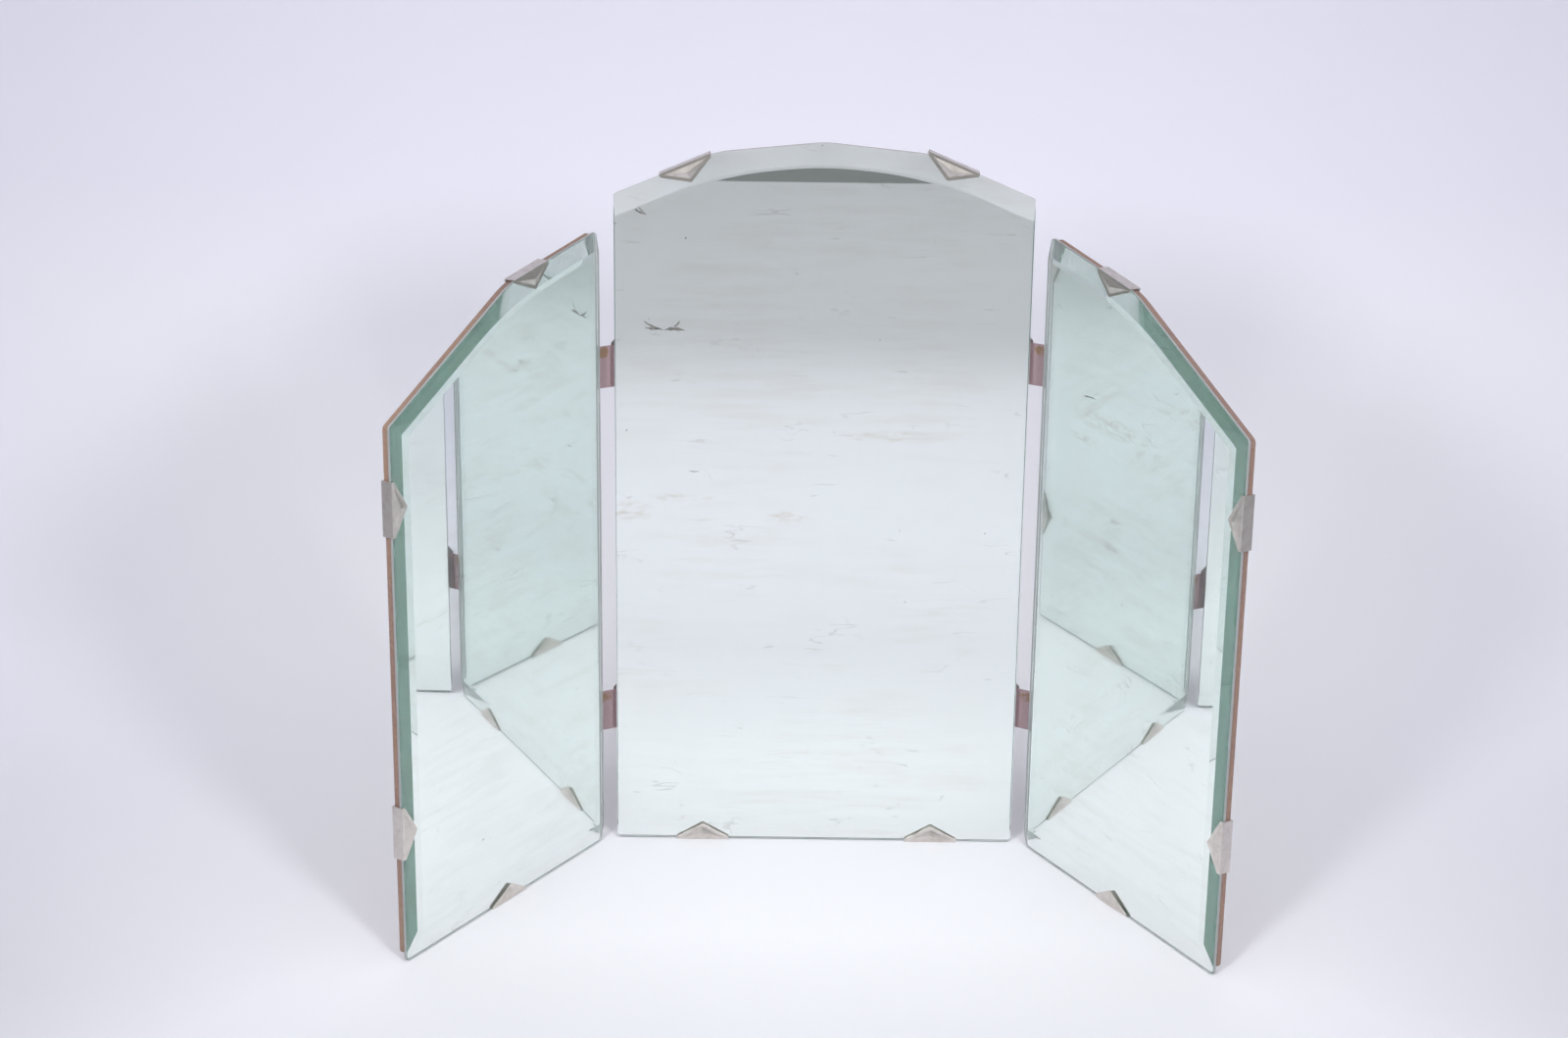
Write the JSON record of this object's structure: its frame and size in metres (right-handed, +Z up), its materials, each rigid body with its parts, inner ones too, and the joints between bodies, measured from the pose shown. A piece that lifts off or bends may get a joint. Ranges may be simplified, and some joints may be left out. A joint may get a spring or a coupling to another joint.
{
  "type": "trifold vanity mirror",
  "caption": "Frameless dressing-table mirror: an arched bevelled centre plate and two sloping wings on cloth strap hinges; the wings swing flat or fold over the centre.",
  "frame": {"origin": "middle of the footprint, on the surface that the mirror stands on", "axes": "+X to the right along the centre panel as seen from the front, +Y from the glass towards the back, +Z up"},
  "size_m": [0.5874, 0.2276, 0.5501],
  "materials": {
    "mirror_glass": "silvered plate, polished bevel",
    "hardboard": "plain brown hardboard",
    "clip_nickel": "aged nickel plate",
    "plate_steel": "dark sheet steel",
    "tack_steel": "plain steel",
    "leathercloth": "grained maroon leathercloth"
  },
  "bodies": {
    "centre": {"centre_glass": "mirror_glass", "centre_board": "hardboard", "centre_clip_top_left": "clip_nickel", "centre_clip_top_right": "clip_nickel", "centre_clip_bottom_left": "clip_nickel", "centre_clip_bottom_right": "clip_nickel", "centre_plate_left_upper": "plate_steel", "centre_plate_left_lower": "plate_steel", "centre_plate_right_upper": "plate_steel", "centre_plate_right_lower": "plate_steel", "centre_clip_tacks": "tack_steel", "centre_strap_tacks": "tack_steel"},
    "left_straps": {"left_strap_upper": "leathercloth", "left_strap_lower": "leathercloth"},
    "left_wing": {"left_glass": "mirror_glass", "left_board": "hardboard", "left_clip_top": "clip_nickel", "left_clip_upper": "clip_nickel", "left_clip_lower": "clip_nickel", "left_clip_bottom": "clip_nickel", "left_plate_upper": "plate_steel", "left_plate_lower": "plate_steel", "left_clip_tacks": "tack_steel", "left_strap_tacks": "tack_steel"},
    "right_straps": {"right_strap_upper": "leathercloth", "right_strap_lower": "leathercloth"},
    "right_wing": {"right_glass": "mirror_glass", "right_board": "hardboard", "right_clip_top": "clip_nickel", "right_clip_upper": "clip_nickel", "right_clip_lower": "clip_nickel", "right_clip_bottom": "clip_nickel", "right_plate_upper": "plate_steel", "right_plate_lower": "plate_steel", "right_clip_tacks": "tack_steel", "right_strap_tacks": "tack_steel"}
  },
  "joints": [
    {"name": "left_strap_fold", "type": "hinge", "parent": "centre", "child": "left_straps", "pos_m": [-0.14879, 0.11055, 0], "axis": [0, 0, 1], "range_deg": [-29.25, 58.25], "deforming": ["left_strap_upper", "left_strap_lower"]},
    {"name": "left_wing_fold", "type": "hinge", "parent": "left_straps", "child": "left_wing", "pos_m": [-0.16712, 0.10029, 0], "axis": [0, 0, 1], "range_deg": [-29.25, 58.25], "deforming": ["left_strap_upper", "left_strap_lower"]},
    {"name": "right_strap_fold", "type": "hinge", "parent": "centre", "child": "right_straps", "pos_m": [0.15621, 0.11055, 0], "axis": [0, 0, -1], "range_deg": [-30.25, 45.75], "deforming": ["right_strap_upper", "right_strap_lower"]},
    {"name": "right_wing_fold", "type": "hinge", "parent": "right_straps", "child": "right_wing", "pos_m": [0.17435, 0.09997, 0], "axis": [0, 0, -1], "range_deg": [-30.25, 45.75], "deforming": ["right_strap_upper", "right_strap_lower"]}
  ],
  "couplings": [
    {"joint": "left_strap_fold", "follows": "left_wing_fold", "ratio": 1},
    {"joint": "right_strap_fold", "follows": "right_wing_fold", "ratio": 1}
  ]
}
